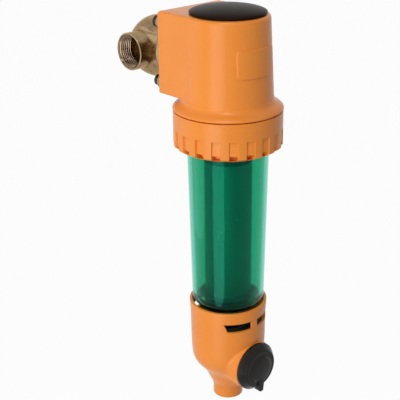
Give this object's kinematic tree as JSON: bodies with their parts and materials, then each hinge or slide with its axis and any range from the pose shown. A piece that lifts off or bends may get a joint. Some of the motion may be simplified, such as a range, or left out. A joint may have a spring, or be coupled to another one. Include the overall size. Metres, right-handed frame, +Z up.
{
  "type": "cyclone water filter",
  "caption": "Domestic cyclone water filter: side pipe connection, orange head and ring nut, clear green bowl round a mesh cartridge, and a drain valve with knob and air-gap cup.",
  "frame": {"origin": "middle of the pipe connection, on the axis shared by the two threaded ports and half way between their end faces", "axes": "+X along the pipe with the flow (inlet port at -X, outlet port at +X), +Z up along the filter's upright axis, +Y towards the wall; the filter hangs in front of the pipe at y = -98 mm and the drain knob faces -Y"},
  "size_m": [0.1064, 0.1822, 0.4147],
  "materials": {
    "orange_plastic": "moulded, satin gloss",
    "black_plastic": "moulded, glossy",
    "grey_plastic": "moulded, matt",
    "white_plastic": "machined, matt",
    "green_clear": "clear, tinted green",
    "nickel_brass": "dull nickel-plated",
    "dark_steel": "blackened",
    "steel_mesh": "fine woven mesh",
    "polished_metal": "polished",
    "rubber": "matt"
  },
  "bodies": {
    "head": {"head_housing": "orange_plastic", "connection_body": "nickel_brass", "flange_seal": "rubber", "flange_screw_1": "dark_steel", "flange_screw_2": "dark_steel", "flange_screw_3": "dark_steel", "flange_screw_4": "dark_steel", "top_cap": "black_plastic", "crossover_tube": "grey_plastic", "crossover_seal_pipe": "rubber", "crossover_seal_hub": "rubber", "swirl_guide": "grey_plastic", "cartridge_cage": "grey_plastic", "filter_mesh": "steel_mesh"},
    "bowl": {"filter_bowl": "green_clear", "bowl_seal": "rubber", "slide_ring": "white_plastic", "valve_body": "black_plastic", "seat_upper": "white_plastic", "seat_lower": "white_plastic", "valve_nozzle": "black_plastic", "stem_gland": "black_plastic", "drain_cup": "orange_plastic"},
    "nut": {"union_nut": "orange_plastic"},
    "knob": {"drain_knob": "black_plastic", "valve_stem": "polished_metal", "stem_seal": "rubber"},
    "ball": {"valve_ball": "polished_metal"}
  },
  "joints": [
    {"name": "bowl_lower", "type": "slide", "parent": "head", "child": "bowl", "axis": [0, 0, -1], "range_m": [0, 0.015]},
    {"name": "nut_turn", "type": "hinge", "parent": "bowl", "child": "nut", "pos_m": [0, -0.098, -0.0634], "axis": [0, 0, -1], "range_deg": [0, 900]},
    {"name": "drain_turn", "type": "hinge", "parent": "bowl", "child": "knob", "pos_m": [0, -0.098, -0.3123], "axis": [0, -1, 0], "range_deg": [0, 90]},
    {"name": "ball_turn", "type": "hinge", "parent": "bowl", "child": "ball", "pos_m": [0, -0.098, -0.3123], "axis": [0, -1, 0], "range_deg": [0, 90]}
  ],
  "couplings": [
    {"joint": "nut_turn", "follows": "bowl_lower", "rad_per_m": 1047.2},
    {"joint": "ball_turn", "follows": "drain_turn", "ratio": 1}
  ]
}
